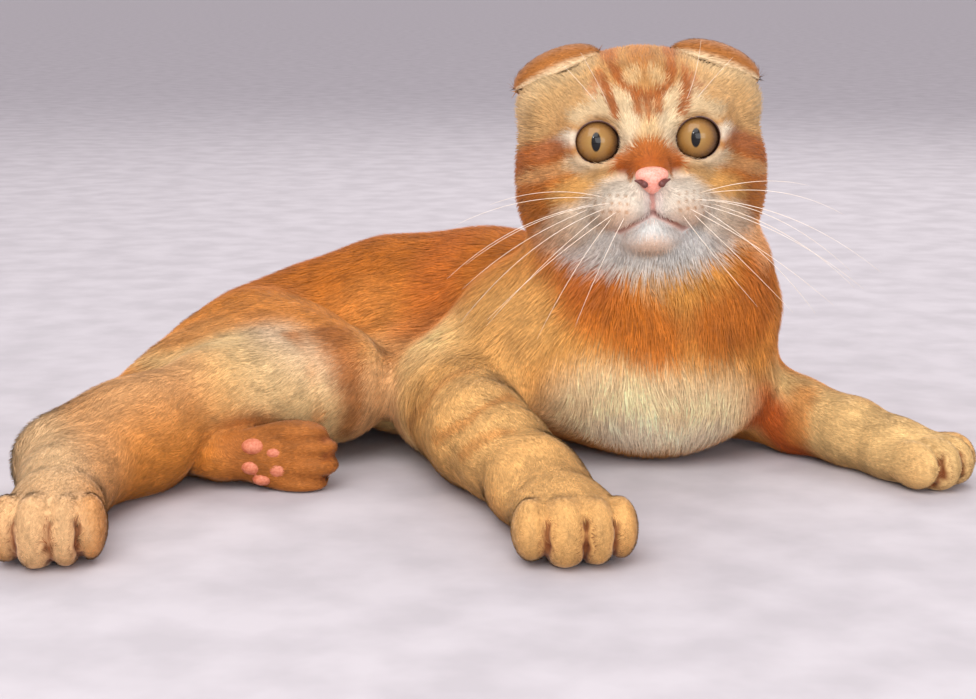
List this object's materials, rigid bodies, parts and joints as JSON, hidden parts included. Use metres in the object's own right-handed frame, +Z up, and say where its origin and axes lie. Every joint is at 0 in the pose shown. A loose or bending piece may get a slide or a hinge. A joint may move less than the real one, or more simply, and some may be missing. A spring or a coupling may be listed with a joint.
{
  "type": "scottish fold cat",
  "caption": "Life-size lying young cat with folded ears, round face turned to the viewer, chest upright, hips rolled over, forelegs stretched out and tail on the floor.",
  "frame": {"origin": "on the floor, in the flat on which the chest rests", "axes": "+Z up, -Y the way the face looks, +X the cat's own left; the rump lies towards -X and the floor is Z = 0"},
  "size_m": [0.3694, 0.3357, 0.1709],
  "materials": {
    "coat": "short dense fur, ginger tabby",
    "paw_coat": "very short fur, pale ginger",
    "ear_coat": "very short fur over thin skin",
    "nose_leather": "fine grained, slightly moist",
    "eye": "wet, clear cornea over an amber iris"
  },
  "bodies": {
    "root": {"torso": "coat", "neck": "coat", "thigh_right": "coat", "lower_leg_right": "coat", "foreleg_right": "coat", "foreleg_left": "coat", "forepaw_right": "paw_coat", "forepaw_left": "paw_coat", "hindpaw_right": "paw_coat", "tail_base": "coat", "tail_end": "coat", "hindleg_left": "coat", "nose": "nose_leather", "head": "coat", "ear_right": "ear_coat", "ear_left": "ear_coat", "eye_right": "eye", "eye_left": "eye"}
  },
  "joints": []
}
